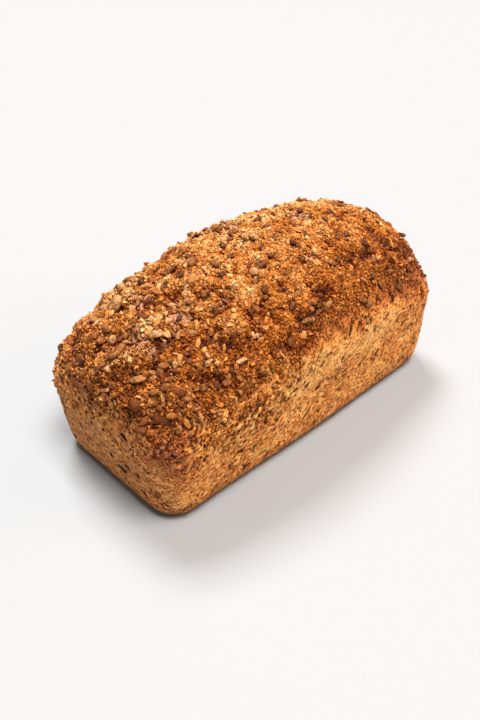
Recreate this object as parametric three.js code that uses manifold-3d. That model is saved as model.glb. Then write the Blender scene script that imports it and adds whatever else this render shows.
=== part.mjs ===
// A flaxseed loaf baked in a tin: straight walls that lean out a little up to the tin's rim, a high
// rounded crown over them, and a topping of seeds and cracked grain baked into the crown.
// The loaf is one solid. Millimetres, +Z up: it stands on z = 0 with its length along X.
import * as THREE from "three";
import { mergeVertices } from "three/addons/utils/BufferGeometryUtils.js";
import Module from "manifold-3d";

// The tin's shape, as the loaf keeps it
const BASE_LENGTH = 216.6; // outside length of the base, before its edge is rounded
const BASE_WIDTH = 100; // outside width there
const CORNER_RADIUS = 16; // upright corners, at the base
const FOOT_RADIUS = 7.6; // rounded edge round the base
const WALL_LEAN = 8.1; // a long wall stands this far out at its top
const SIDE_TOP = 70; // top of the straight wall at the middle of a long side
const END_TOP = 42.7; // top of the straight wall at the ends, where the dough drew in first
const END_TILT = 0.6; // the far end (+X) is this much higher and the near one lower
const WALL_ARCH = { power: 1.6, fall: 1.06 }; // how the wall's top falls from the middle to the ends

// The crown: arches over the length and the width, each (1 - t^power)^fall
const CREST = 113; // height of the loaf without its topping
const LENGTH_ARCH = { power: 1.8, fall: 0.236 };
const WIDTH_ARCH = { power: 2.47, fall: 0.595 };
const UNEVEN = 0.7; // the hand-shaped dough's slow waves in the crown
const SQUARING = 16; // how sharply the arches turn from side to end over the corners

// The topping's largest pieces, fused into the crown
const GRAINS = 184;
const GRAIN_LONG = 7.4; // the longest, a shelled kernel
const GRAIN_SHORT = 4.0; // the shortest, a flaxseed or a cracked grain
const GRAIN_WIDE = 0.58; // width as a part of the length
const GRAIN_THICK = 0.46; // thickness as a part of the length
const GRAIN_LIFT = 0.1; // its middle lies this much of its length over the crust
const GRAIN_GAP = 1.2; // clear crust between two grains
const TOPPED_LENGTH = 220; // the topping's extent in the plan, a rectangle with very soft corners
const TOPPED_WIDTH = 109;
const TOPPED_POWER = 5;
const SEED = 20.7; // start of the seeded draw

// How finely the loaf is faceted
const CORNER_STEPS = 6;
const SIDE_STEPS = 16;
const END_STEPS = 7;
const CROWN_ROWS = 16;
const WALL_ROWS = 2;
const FOOT_ROWS = 4;

const wasm = await Module();
wasm.setup();

const halfLength = BASE_LENGTH / 2;
const halfWidth = BASE_WIDTH / 2;

function arch(t, { power, fall }) {
  return Math.max(0, 1 - Math.min(1, Math.abs(t)) ** power) ** fall;
}

function endTop(u) {
  return END_TOP + END_TILT * u;
}

// Top of the straight wall at a place along the length, u from -1 to 1.
function wallTop(u) {
  return endTop(u) + (SIDE_TOP - END_TOP) * arch(u, WALL_ARCH);
}

// Height of the crown over a place in the plan, u along the length and v over the width, -1 to 1.
function crownHeight(u, v) {
  const crest = endTop(u) + (CREST - END_TOP) * arch(u, LENGTH_ARCH);
  const rise = (crest - wallTop(u)) * arch(v, WIDTH_ARCH);
  const waves = Math.sin(9 * u + 2 * v) + Math.sin(5 * u - 5 * v + 1);
  return wallTop(u) + rise + (UNEVEN * waves * rise) / (CREST - SIDE_TOP) / 2;
}

// The loaf's columns: points round the base, a rectangle with rounded corners, each with its outward
// normal, its place u, v on the edge of the plan and its point at the wall's top.
function loafColumns() {
  const outline = [];
  const corners = [
    [1, 1, 0, SIDE_STEPS],
    [-1, 1, 90, END_STEPS],
    [-1, -1, 180, SIDE_STEPS],
    [1, -1, 270, END_STEPS],
  ];
  const arcs = corners.map(([sx, sy, start]) => {
    const centre = new THREE.Vector2(
      sx * (halfLength - CORNER_RADIUS),
      sy * (halfWidth - CORNER_RADIUS),
    );
    const steps = [...Array(CORNER_STEPS + 1).keys()];
    return steps.map((i) => {
      const angle = THREE.MathUtils.degToRad(start + (90 * i) / CORNER_STEPS);
      const normal = new THREE.Vector2(Math.cos(angle), Math.sin(angle));
      const base = centre.clone().addScaledVector(normal, CORNER_RADIUS);
      return { base, normal };
    });
  });
  arcs.forEach((arc, k) => {
    outline.push(...arc);
    const from = arc.at(-1);
    const to = arcs[(k + 1) % arcs.length][0];
    const steps = corners[k][3];
    for (let i = 1; i < steps; i++)
      outline.push({
        base: from.base.clone().lerp(to.base, i / steps),
        normal: from.normal,
      });
  });
  return outline.map(({ base, normal }) => {
    const edgeU = base.x / halfLength;
    const edgeV = base.y / halfWidth;
    const square =
      (Math.abs(edgeU) ** SQUARING + Math.abs(edgeV) ** SQUARING) **
      (-1 / SQUARING);
    const u = THREE.MathUtils.clamp(edgeU * square, -1, 1);
    const v = THREE.MathUtils.clamp(edgeV * square, -1, 1);
    const lean = (WALL_LEAN * wallTop(u)) / SIDE_TOP;
    const top = base.clone().addScaledVector(normal, lean);
    return { base, normal, u, v, top };
  });
}

const columns = loafColumns();

// The crust's point over x, y on the crown, or null off it: the place is found between two columns.
function onCrown(x, y) {
  const place = new THREE.Vector2(x, y);
  for (let i = 0; i < columns.length; i++) {
    const a = columns[i];
    const b = columns[(i + 1) % columns.length];
    const turn = a.top.cross(b.top);
    const toA = place.cross(b.top) / turn;
    const toB = a.top.cross(place) / turn;
    if (toA < 0 || toB < 0) continue;
    if (toA + toB > 1) return null;
    const u = toA * a.u + toB * b.u;
    const v = toA * a.v + toB * b.v;
    return { u, v, point: new THREE.Vector3(x, y, crownHeight(u, v)) };
  }
  return null;
}

// A closed geometry as a solid for joining.
function solid(geometry) {
  geometry.deleteAttribute("normal");
  geometry.deleteAttribute("uv");
  const merged = mergeVertices(geometry, 1e-4);
  return new wasm.Manifold(
    new wasm.Mesh({
      numProp: 3,
      vertProperties: new Float32Array(merged.attributes.position.array),
      triVerts: new Uint32Array(merged.index.array),
    }),
  );
}

// The plain loaf: a ball whose columns are drawn out to the base's outline and whose rows become
// crown, wall, rounded foot and flat base.
function loafBody() {
  const around = columns.length;
  const rows = CROWN_ROWS + WALL_ROWS + FOOT_ROWS + 1;
  const ball = new THREE.SphereGeometry(1, around, rows).rotateX(Math.PI / 2);
  const position = ball.attributes.position;
  for (let i = 0; i < position.count; i++) {
    const row = Math.floor(i / (around + 1));
    const { base, normal, u, v, top } = columns[(i % (around + 1)) % around];
    if (row <= CROWN_ROWS) {
      const out = Math.sin(((row / CROWN_ROWS) * Math.PI) / 2);
      const height = crownHeight(u * out, v * out);
      position.setXYZ(i, top.x * out, top.y * out, height);
      continue;
    }
    if (row === rows) {
      position.setXYZ(i, 0, 0, 0);
      continue;
    }
    let height = FOOT_RADIUS;
    let inset = 0;
    if (row <= CROWN_ROWS + WALL_ROWS) {
      const down = (row - CROWN_ROWS) / WALL_ROWS;
      height = THREE.MathUtils.lerp(wallTop(u), FOOT_RADIUS, down);
    } else {
      const turn = (((row - CROWN_ROWS - WALL_ROWS) / FOOT_ROWS) * Math.PI) / 2;
      height = FOOT_RADIUS * (1 - Math.sin(turn));
      inset = FOOT_RADIUS * (1 - Math.cos(turn));
    }
    const out = (WALL_LEAN * height) / SIDE_TOP - inset;
    const x = base.x + normal.x * out;
    const y = base.y + normal.y * out;
    position.setXYZ(i, x, y, height);
  }
  return solid(ball);
}

// A number between 0 and 1 that looks drawn by chance and is the same on every run.
function draw(i) {
  const s = Math.sin((i + 1) * 12.9898 + SEED * 78.233) * 43758.5453;
  return s - Math.floor(s);
}

// The grains' places: an evenly filling sequence over the topped plan, the largest grains first.
function grainPlaces() {
  const places = [];
  for (let i = 0; places.length < GRAINS; i++) {
    const s = 2 * ((0.5 + i * 0.7548776662) % 1) - 1;
    const t = 2 * ((0.5 + i * 0.569840291) % 1) - 1;
    if (Math.abs(s) ** TOPPED_POWER + Math.abs(t) ** TOPPED_POWER > 1) continue;
    const small = (places.length / GRAINS) ** 0.6;
    const length = THREE.MathUtils.lerp(GRAIN_LONG, GRAIN_SHORT, small);
    const { point } = onCrown((s * TOPPED_LENGTH) / 2, (t * TOPPED_WIDTH) / 2);
    const close = places.some(
      (p) =>
        Math.hypot(p.point.x - point.x, p.point.y - point.y) <
        (p.length + length) / 2 + GRAIN_GAP,
    );
    if (close) continue;
    places.push({ point, length, turn: draw(i) * 2 * Math.PI });
  }
  return places;
}

// The crust's outward normal at a point of the crown.
function crownNormal({ x, y }) {
  const step = 0.8;
  const alongX = onCrown(x + step, y).point.sub(onCrown(x - step, y).point);
  const alongY = onCrown(x, y + step).point.sub(onCrown(x, y - step).point);
  return alongX.cross(alongY).normalize();
}

// One grain: a tapered oval of twenty facets, lying on the crust and partly sunk in it.
function grain({ point, length, turn }) {
  const shape = new THREE.IcosahedronGeometry(1, 0).rotateZ(0.3);
  const position = shape.attributes.position;
  for (let i = 0; i < position.count; i++) {
    const taper = 1 - 0.22 * position.getX(i);
    position.setY(i, position.getY(i) * taper);
    position.setZ(i, position.getZ(i) * taper);
  }
  const up = crownNormal(point);
  const lay = new THREE.Quaternion().setFromUnitVectors(
    new THREE.Vector3(0, 0, 1),
    up,
  );
  shape.scale(length / 2, (length * GRAIN_WIDE) / 2, (length * GRAIN_THICK) / 2);
  shape.rotateZ(turn);
  shape.applyQuaternion(lay);
  const centre = point.clone().addScaledVector(up, length * GRAIN_LIFT);
  shape.translate(centre.x, centre.y, centre.z);
  return solid(shape);
}

let joined = loafBody();
for (const place of grainPlaces()) joined = joined.add(grain(place));

const mesh = joined.getMesh();
const geometry = new THREE.BufferGeometry();
geometry.setAttribute(
  "position",
  new THREE.BufferAttribute(new Float32Array(mesh.vertProperties), 3),
);
geometry.setIndex(new THREE.BufferAttribute(new Uint32Array(mesh.triVerts), 1));
geometry.computeVertexNormals();

// Baked crust: golden brown and dull
const crust = new THREE.MeshStandardMaterial({
  color: 0xa8672f,
  roughness: 0.72,
  metalness: 0,
});
const loaf = new THREE.Mesh(geometry, crust);
loaf.name = "loaf";

const bread = new THREE.Group();
bread.add(loaf);

export default bread;
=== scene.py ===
# %% [markdown]
# # A flaxseed loaf, baked in a tin
#
# The loaf is one baked piece. Its walls took the shape and the pale, porous skin that the tin gave
# them. Its crown rose free, browned darker and carries a topping: golden meal, bran flakes, cracked
# grain, shelled kernels and whole flaxseeds. This lesson dresses the plain solid of the loaf. The solid
# is loaded first, as a fixed frame in metres, and everything made after it keeps to that frame.

# %% Load the solid loaf
import math

import bpy
import numpy as np
from mathutils import Matrix, Vector
from mathutils.kdtree import KDTree


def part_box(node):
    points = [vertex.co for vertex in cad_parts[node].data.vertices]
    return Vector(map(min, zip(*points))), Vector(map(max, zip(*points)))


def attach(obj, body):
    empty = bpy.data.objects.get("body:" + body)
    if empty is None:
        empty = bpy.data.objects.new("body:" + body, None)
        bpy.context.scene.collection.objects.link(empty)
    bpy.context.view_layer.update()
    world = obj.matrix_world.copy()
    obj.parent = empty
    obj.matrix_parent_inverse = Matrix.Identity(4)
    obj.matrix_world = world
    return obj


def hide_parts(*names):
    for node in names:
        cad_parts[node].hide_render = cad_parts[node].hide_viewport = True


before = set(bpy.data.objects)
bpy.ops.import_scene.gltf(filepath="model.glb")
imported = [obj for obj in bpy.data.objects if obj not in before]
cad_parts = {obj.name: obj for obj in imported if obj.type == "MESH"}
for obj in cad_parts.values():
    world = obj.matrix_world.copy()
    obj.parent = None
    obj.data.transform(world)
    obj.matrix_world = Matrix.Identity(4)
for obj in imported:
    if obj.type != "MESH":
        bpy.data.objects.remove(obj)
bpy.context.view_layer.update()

MM = 0.001
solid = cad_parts["loaf"]
low, high = (np.array(corner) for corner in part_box("loaf"))
HALF_LENGTH = (high[0] - low[0]) / 2
HALF_WIDTH = (high[1] - low[1]) / 2
print("solid loaf, mm:", np.round((high - low) / MM, 1))


# %% [markdown]
# ## Small helpers
#
# An operator works on whatever is selected, so one helper selects a single piece as a click would, and
# another adds a modifier and applies it at once. Colours are written as the hex codes that a colour
# picker shows and turned into the linear numbers that light is computed with. One helper adds any
# shader node with its settings and links. The last two are for drawing on the loaf: a soft step from 0
# to 1 between two places, and a wave that wanders, because nothing baked is even.

# %% Helpers
WAVES = 7
PITCH_RANGE = (0.7, 1.5)  # shortest and longest wave, as parts of the length asked for
WAVE_SUM = 3.0  # brings the sum of the waves to about -1 to 1


def only(piece):
    bpy.ops.object.select_all(action="DESELECT")
    piece.select_set(True)
    bpy.context.view_layer.objects.active = piece


def apply_modifier(piece, kind, **settings):
    modifier = piece.modifiers.new(kind.lower(), kind)
    for name, value in settings.items():
        setattr(modifier, name, value)
    only(piece)
    bpy.ops.object.modifier_apply(modifier=modifier.name)


def linear(code):
    shades = [int(code[i : i + 2], 16) / 255 for i in (1, 3, 5)]
    return [s / 12.92 if s <= 0.04045 else ((s + 0.055) / 1.055) ** 2.4 for s in shades] + [1.0]


def add_node(tree, kind, inputs=(), give=0, stops=(), **settings):
    """Adds a shader node and gives back one of its outputs. Inputs, in order or by name, are values or
    the outputs that feed them. Stops are the places and colours of a ramp."""
    node = tree.nodes.new("ShaderNode" + kind)
    for name, value in settings.items():
        setattr(node, name, value)
    for name, value in inputs.items() if isinstance(inputs, dict) else enumerate(inputs):
        socket = node.inputs[name]
        if isinstance(value, bpy.types.NodeSocket):
            tree.links.new(value, socket)
        else:
            socket.default_value = value
    if stops:
        ramp = node.color_ramp.elements
        while len(ramp) < len(stops):
            ramp.new(0.5)
        for element, (position, code) in zip(ramp, stops):
            element.position = position
            element.color = linear(code)
    return node.outputs[give] if node.outputs else None


def smooth_step(value, start, end):
    t = np.clip((value - start) / (end - start), 0, 1)
    return t * t * (3 - 2 * t)


def slow_waves(place, length, seed):
    """A smooth wandering value from about -1 to 1, with waves of about the given length."""
    draw = np.random.default_rng(seed)
    total = np.zeros(len(place))
    for _ in range(WAVES):
        direction = draw.normal(size=3)
        direction /= np.linalg.norm(direction)
        pitch = length * draw.uniform(*PITCH_RANGE)
        start = draw.uniform(0, 2 * math.pi)
        total += np.sin(place @ direction * 2 * math.pi / pitch + start)
    return total / WAVE_SUM


# %% [markdown]
# ## Camera
#
# The camera comes first, because a few marks of this loaf, such as its pin holes, are put where the
# picture shows them: a ray from the camera through a pixel finds the place on the crust. Its angle and
# distance were found by fitting the loaf's outline.

# %% Camera
PICTURE_WIDTH = 480
PICTURE_HEIGHT = 720
LENS = 42
SENSOR = 36
CAMERA_AZIMUTH = math.radians(-43.894)
CAMERA_ELEVATION = math.radians(39.135)
CAMERA_DISTANCE = 499.4 * MM
AIM_HEIGHT = 50 * MM
AIM_RIGHT = 7.36 * MM  # the loaf's middle lies this far right of the picture's middle
AIM_UP = 18.4 * MM  # and this far above it

back = Vector((
    math.sin(CAMERA_AZIMUTH) * math.cos(CAMERA_ELEVATION),
    -math.cos(CAMERA_AZIMUTH) * math.cos(CAMERA_ELEVATION),
    math.sin(CAMERA_ELEVATION),
))
right = Vector((math.cos(CAMERA_AZIMUTH), math.sin(CAMERA_AZIMUTH), 0))
upward = back.cross(right)
eye = Vector((0, 0, AIM_HEIGHT)) + back * CAMERA_DISTANCE - right * AIM_RIGHT - upward * AIM_UP

bpy.ops.object.select_all(action="DESELECT")
bpy.ops.object.camera_add()
camera = bpy.context.object
camera.data.lens = LENS
camera.data.sensor_width = SENSOR
camera.matrix_world = Matrix.Translation(eye) @ Matrix((right, upward, back)).transposed().to_4x4()
bpy.context.scene.camera = camera


def seen_at(piece, pixel):
    """The place on a piece that a pixel of the picture shows, and the way its surface faces there."""
    focal = LENS / SENSOR * PICTURE_HEIGHT
    across = (pixel[0] - PICTURE_WIDTH / 2) / focal
    rise = (PICTURE_HEIGHT / 2 - pixel[1]) / focal
    _, where, facing, _ = piece.ray_cast(eye, (right * across + upward * rise - back).normalized())
    return np.array(where), np.array(facing)


print("camera at, mm:", [round(c / MM) for c in eye])

# %% [markdown]
# ## The crust
#
# The crust has to carry lumps and pores, so it needs an even net of small faces. Modelling the loaf a
# second time could drift from the solid. A copy of the solid is remeshed into small squares instead,
# like clay over a form, and smoothed until the coarse facets and the grains fused to the solid have
# melted into soft swellings. The real topping goes back on later, in the same places.

# %% Remesh a copy of the solid
MERGE = 0.01 * MM
CRUST_FACE = 1.7 * MM
MELT_STRENGTH = 0.5
MELT_STEPS = 30

crust = bpy.data.objects.new("crust", solid.data.copy())
bpy.context.scene.collection.objects.link(crust)
only(crust)
bpy.ops.object.mode_set(mode="EDIT")
bpy.ops.mesh.select_all(action="SELECT")
bpy.ops.mesh.remove_doubles(threshold=MERGE)
bpy.ops.object.mode_set(mode="OBJECT")
apply_modifier(crust, "REMESH", mode="VOXEL", voxel_size=CRUST_FACE, use_smooth_shade=True)
apply_modifier(crust, "SMOOTH", factor=MELT_STRENGTH, iterations=MELT_STEPS)
print("crust faces:", len(crust.data.polygons))

# %% [markdown]
# The tin's walls show fine pores close to the eye, so their faces are halved once more, and the flat
# base, which nobody sees, becomes one face. Both are picked by their place and by the way they face.

# %% Finer faces on the walls, one face under the base
WALL_LOW = 2 * MM
WALL_HIGH = 76 * MM
UPRIGHT = 0.6
BASE_HIGH = 0.2 * MM
FACES_DOWN = -0.99


def pick_faces(piece, wanted):
    only(piece)
    bpy.ops.object.mode_set(mode="EDIT")
    bpy.ops.mesh.select_mode(type="FACE")
    bpy.ops.mesh.select_all(action="DESELECT")
    bpy.ops.object.mode_set(mode="OBJECT")
    for face in piece.data.polygons:
        face.select = wanted(face)
    bpy.ops.object.mode_set(mode="EDIT")


pick_faces(crust, lambda face: abs(face.normal.z) < UPRIGHT and WALL_LOW < face.center.z < WALL_HIGH)
bpy.ops.mesh.subdivide(number_cuts=1)
bpy.ops.object.mode_set(mode="OBJECT")
pick_faces(crust, lambda face: face.center.z < BASE_HIGH and face.normal.z < FACES_DOWN)
bpy.ops.mesh.dissolve_faces()
bpy.ops.object.mode_set(mode="OBJECT")
crust.data.calc_loop_triangles()
print("crust faces:", len(crust.data.polygons), "triangles:", len(crust.data.loop_triangles))


# %% [markdown]
# ## Where the loaf is what
#
# Crust and topping follow one map of the loaf: how high a place lies above the top of the tin's wall,
# whether it belongs to an end or to a long side, and how much topping it holds. On the near half the
# topping runs down to the tin's edge. On the far half it thins out earlier and leaves browned crust.
# The near end points along -X. A pair of values says where a soft step starts and where it ends.

# %% Map of the loaf
WALL_TOP = 70 * MM
FAR_WALL_DROP = 9 * MM  # the tin's edge lies this much lower toward the far end
FAR_DROP_ALONG = (40 * MM, 105 * MM)
FAR_HALF_ALONG = (-40 * MM, 50 * MM)
SLOW_WANDER = 2.6 * MM  # the tin's edge wanders up and down in slow and in quick waves
SLOW_LENGTH = 34 * MM
QUICK_WANDER = 2.8 * MM
QUICK_LENGTH = 11 * MM
CORNER_BLEND = (-0.05, 0.07)
FAR_BARE_RIM = 14 * MM
NEAR_SPILL = 7 * MM
NEAR_SPILL_ALONG = (30 * MM, 85 * MM)
SIDE_THINNING = (0, 14 * MM)
END_THINNING = (-9 * MM, 5 * MM)
CROWN_START = 2 * MM
CROWN_BLEND = 14 * MM  # twice as soft on the far half
SOFTER_ALONG = (-60 * MM, 20 * MM)
FOOT_EDGE = (3 * MM, 9 * MM)


def points_of(mesh):
    place = np.empty(len(mesh.vertices) * 3, np.float32)
    mesh.vertices.foreach_get("co", place)
    normal = np.empty(len(mesh.vertices) * 3, np.float32)
    mesh.vertex_normals.foreach_get("vector", normal)
    return place.reshape(-1, 3).astype(float), normal.reshape(-1, 3).astype(float)


place, normal = points_of(crust.data)
far_half = smooth_step(place[:, 0], *FAR_HALF_ALONG)
wall_top = WALL_TOP - FAR_WALL_DROP * smooth_step(place[:, 0], *FAR_DROP_ALONG)
edge_wander = SLOW_WANDER * slow_waves(place, SLOW_LENGTH, seed=3)
edge_wander += QUICK_WANDER * slow_waves(place, QUICK_LENGTH, seed=4)
over = place[:, 2] - wall_top + edge_wander
end_or_side = np.abs(place[:, 0]) / HALF_LENGTH - np.abs(place[:, 1]) / HALF_WIDTH
on_end = smooth_step(end_or_side, *CORNER_BLEND)
rim = FAR_BARE_RIM * far_half - NEAR_SPILL * smooth_step(-place[:, 0], *NEAR_SPILL_ALONG)
side_topped = smooth_step(over - rim, *SIDE_THINNING)
end_topped = smooth_step(over - FAR_BARE_RIM * far_half, *END_THINNING)
topped = side_topped + (end_topped - side_topped) * on_end
softness = CROWN_BLEND * (1 + smooth_step(place[:, 0], *SOFTER_ALONG))
crown = smooth_step((over - CROWN_START) / softness, -0.5, 0.5)
on_wall = (1 - crown) * smooth_step(place[:, 2], *FOOT_EDGE)
print("share of the crust under topping:", round(float(topped.mean()), 2))

# %% [markdown]
# ## Relief of the crust
#
# Dough swells unevenly: the loaf has slow lumps, and under the topping the crust is knobbly, most of all
# on the near half. Each layer is a Displace modifier with a cloud texture, held to its own part of the
# loaf by a vertex group. The crown is first let down a little, to leave room for the topping that lies
# on it, and the foot of the front wall is spread a little, as it sagged in the tin. How high each knob
# stands is kept, because the crumbs get painted shade in the hollows and painted light on the knobs.

# %% Let the crown down, spread the foot, swell and dimple
TOPPING_ROOM = 2.8 * MM
FOOT_SPREAD = 2.4 * MM
WEIGHT_STEPS = 20
OFF_BASE_UP = (3 * MM, 12 * MM)
FAR_CLUMPS = 0.4
NEAR_CLUMPS = 0.6  # added toward the near end
NEAR_CLUMPS_ALONG = (0, 70 * MM)
LET_DOWN_UP = (-16 * MM, 24 * MM)
SPREAD_UP = (10 * MM, 45 * MM)
SPREAD_OUT = (20 * MM, 45 * MM)
SPREAD_ALONG = (-80 * MM, 10 * MM)
RELIEF = [  # cloud size, depth and the part of the loaf
    ("slow_swelling", 30 * MM, 2.0 * MM, "off_base"),
    ("knobs_under_topping", 6.5 * MM, 6.5 * MM, "under_topping"),
    ("clumps", 12 * MM, 10 * MM, "clumped"),
    ("wall_dimples", 7 * MM, 1.0 * MM, "off_base"),
    ("wall_crinkles", 2.4 * MM, 0.7 * MM, "off_base"),
]


def give_weights(piece, name, weights):
    group = piece.vertex_groups.new(name=name)
    steps = np.round(np.clip(weights, 0, 1) * WEIGHT_STEPS).astype(int)
    for step in range(1, WEIGHT_STEPS + 1):
        members = np.nonzero(steps == step)[0].tolist()
        group.add(members, step / WEIGHT_STEPS, "REPLACE")


def cloud(name, size):
    texture = bpy.data.textures.new(name, "CLOUDS")
    texture.noise_scale = size
    texture.noise_depth = 2
    return texture


low_front = (1 - smooth_step(place[:, 2], *SPREAD_UP)) * smooth_step(-place[:, 1], *SPREAD_OUT)
clumped = topped * (FAR_CLUMPS + NEAR_CLUMPS * smooth_step(-place[:, 0], *NEAR_CLUMPS_ALONG))
give_weights(crust, "off_base", smooth_step(place[:, 2], *OFF_BASE_UP))
give_weights(crust, "under_topping", topped)
give_weights(crust, "clumped", clumped)
give_weights(crust, "let_down", smooth_step(over, *LET_DOWN_UP))
give_weights(crust, "low_front", low_front * smooth_step(place[:, 0], *SPREAD_ALONG))
apply_modifier(crust, "DISPLACE", strength=-TOPPING_ROOM, mid_level=0, vertex_group="let_down")
apply_modifier(
    crust, "DISPLACE", direction="Y", strength=-FOOT_SPREAD, mid_level=0, vertex_group="low_front"
)
for name, size, depth, group in RELIEF:
    apply_modifier(
        crust, "DISPLACE", texture=cloud(name, size), texture_coords="LOCAL",
        strength=depth, mid_level=0.5, vertex_group=group,
    )
crust.vertex_groups.clear()
crust_place, crust_normal = points_of(crust.data)
knob_height = ((crust_place - place) * normal).sum(axis=1) + TOPPING_ROOM
print("relief, mm:", np.round(np.abs(crust_place - place).max() / MM, 2))
knob_range = np.percentile(knob_height[topped > 0.9], [5, 50, 95])
print("knobs under the topping, mm:", np.round(knob_range / MM, 1))

# %% [markdown]
# ## Strewing
#
# Pores, seeds and crumbs all lie where chance put them. Places are drawn on the crust's faces in
# proportion to their area and to a share from the map, and a place too near one already taken is
# dropped. A grid of cells, each as wide as the gap, keeps the search for near places short.

# %% Draw places on the crust
TRIES = 4  # places drawn for each one wanted

crust.data.calc_loop_triangles()
crust_faces = np.empty(len(crust.data.loop_triangles) * 3, np.int32)
crust.data.loop_triangles.foreach_get("vertices", crust_faces)
crust_faces = crust_faces.reshape(-1, 3)


def strew(count, gap, share, seed):
    draw = np.random.default_rng(seed)
    a, b, c = (crust_place[crust_faces[:, k]] for k in range(3))
    chance = np.linalg.norm(np.cross(b - a, c - a), axis=1) * share[crust_faces].mean(axis=1)
    tries = count * TRIES
    face = draw.choice(len(chance), tries, p=chance / chance.sum())
    inward = np.sqrt(draw.random(tries))
    sideways = draw.random(tries)
    mix = np.stack([1 - inward, inward * (1 - sideways), inward * sideways], axis=1)[:, :, None]
    spots = (mix * crust_place[crust_faces[face]]).sum(axis=1)
    ups = (mix * crust_normal[crust_faces[face]]).sum(axis=1)
    ups /= np.linalg.norm(ups, axis=1)[:, None]
    cells = {}
    kept = []
    around = [(i, j, k) for i in (-1, 0, 1) for j in (-1, 0, 1) for k in (-1, 0, 1)]
    rows = spots.tolist()
    for index, (x, y, z) in enumerate(rows):
        cell = (math.floor(x / gap), math.floor(y / gap), math.floor(z / gap))
        near = (n for i, j, k in around for n in cells.get((cell[0] + i, cell[1] + j, cell[2] + k), ()))
        if any(math.dist(rows[index], rows[n]) < gap for n in near):
            continue
        cells.setdefault(cell, []).append(index)
        kept.append(index)
        if len(kept) == count:
            break
    return spots[kept], ups[kept]


# %% [markdown]
# ## Marks in the walls
#
# The tin's walls are pitted and lumpy. Every mark is an oval that lies in the wall and climbs at an
# angle, so three helpers serve them all: one finds the direction of a stroke, one finds the points in an
# oval round a place, and one presses a dent. How far each point is pushed is summed up first and done
# in one go. A mark on the points says how hollow a place is, so that the material can paint shade into it.

# %% Strokes, ovals and dents
DENT_EDGE = (1.35, 0.4)  # in parts of the oval: untouched beyond the first, full depth within the second
DENT_SEARCH = 1.4

draw = np.random.default_rng(17)
hollow_shade = np.zeros(len(crust_place))
clear = np.ones(len(crust_place))
push = np.zeros(len(crust_place))
near_points = KDTree(len(crust_place))
for index, point in enumerate(crust_place):
    near_points.insert(point, index)
near_points.balance()


def stroke(facing, climb):
    """The direction on a wall that climbs at an angle: along X on a side, along Y on an end."""
    level = np.array([0, 1, 0]) if abs(facing[0]) > abs(facing[1]) else np.array([1, 0, 0])
    along = level * math.cos(math.radians(climb)) + np.array([0, 0, 1]) * math.sin(math.radians(climb))
    along = along - facing * (along @ facing)
    return along / np.linalg.norm(along)


def oval_reach(centre, facing, along, half_long, half_wide, most):
    """Points around a centre, and how far out each lies in an oval, 1 being its edge."""
    found = [index for _, index, _ in near_points.find_range(Vector(centre), half_long * most)]
    away = crust_place[found] - centre
    return found, np.hypot(away @ along / half_long, away @ np.cross(facing, along) / half_wide)


def dent(centre, facing, along, half_long, half_wide, depth, painted_shade):
    found, reach = oval_reach(centre, facing, along, half_long, half_wide, DENT_SEARCH)
    inside = smooth_step(reach, *DENT_EDGE)
    push[found] = np.minimum(push[found], -inside * depth)
    # painted shade: how dark the dent's hollow is painted
    hollow_shade[found] = np.maximum(hollow_shade[found], inside * painted_shade)


# %% [markdown]
# Gas that met the tin left more than a thousand pores, drawn out into short strokes that climb away from
# the near corner. They are strewn. The long slits and the two black pin holes on the near end are put
# where the picture shows them: each slit is a pixel, its climb in degrees and half its length in
# millimetres, and each pin hole a pixel and half its length and width.

# %% Press pores, slits and pin holes
SIDE_CLIMB = 36
END_CLIMB = 20
CLIMB_SPREAD = 14
PORES = 1800
PORE_GAP = 1.5 * MM
PORE_SHORT = 0.5  # half the length of the shortest, mm
PORE_LONGER = 1.0  # added for the longest, mm
PORE_WIDE = (0.4, 0.8)  # width as a part of the length
PORE_LEAST = 0.5 * MM
PORE_DEPTH = 0.5 * MM
# how much shade is painted into a pore, from least to most
PORE_DARK = (0.3, 1.0)
NO_PORES_ON = (0.1, 0.6)  # share of crown at which the pores die out
SLITS = [
    (351, 331, 78, 4.0), (283, 400, 40, 2.8), (345, 371, 25, 2.8), (307, 386, 55, 2.8), (234, 444, 40, 2.0),
    (377, 352, 55, 2.4), (393, 299, 75, 3.0), (423, 296, 70, 2.4), (300, 361, 60, 3.4), (343, 359, 50, 3.4),
    (278, 419, 30, 2.4), (318, 388, 55, 2.0), (245, 442, 40, 1.4), (261, 445, 40, 1.4), (236, 391, 85, 4.0),
    (307, 413, 38, 6.0), (275, 429, 60, 1.4), (205, 461, 40, 1.4), (318, 411, 10, 1.4), (214, 450, 80, 2.6),
]
SLIT_WIDE = 1.0 * MM
SLIT_DEPTH = 0.9 * MM
# how much shade is painted into a slit
SLIT_DARK = 1.4
# the pin holes are pressed only shallow and painted nearly black: painted shade of a deep hole
PIN_HOLES = [(124, 437, 2.6, 1.6), (122, 469, 3.4, 2.3)]
PIN_DEPTH = 0.5 * MM
PIN_DARK = 2.6
PIN_CLEAR = (4 * MM, 6 * MM)  # wall seeds and stray meal keep this far off

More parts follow.
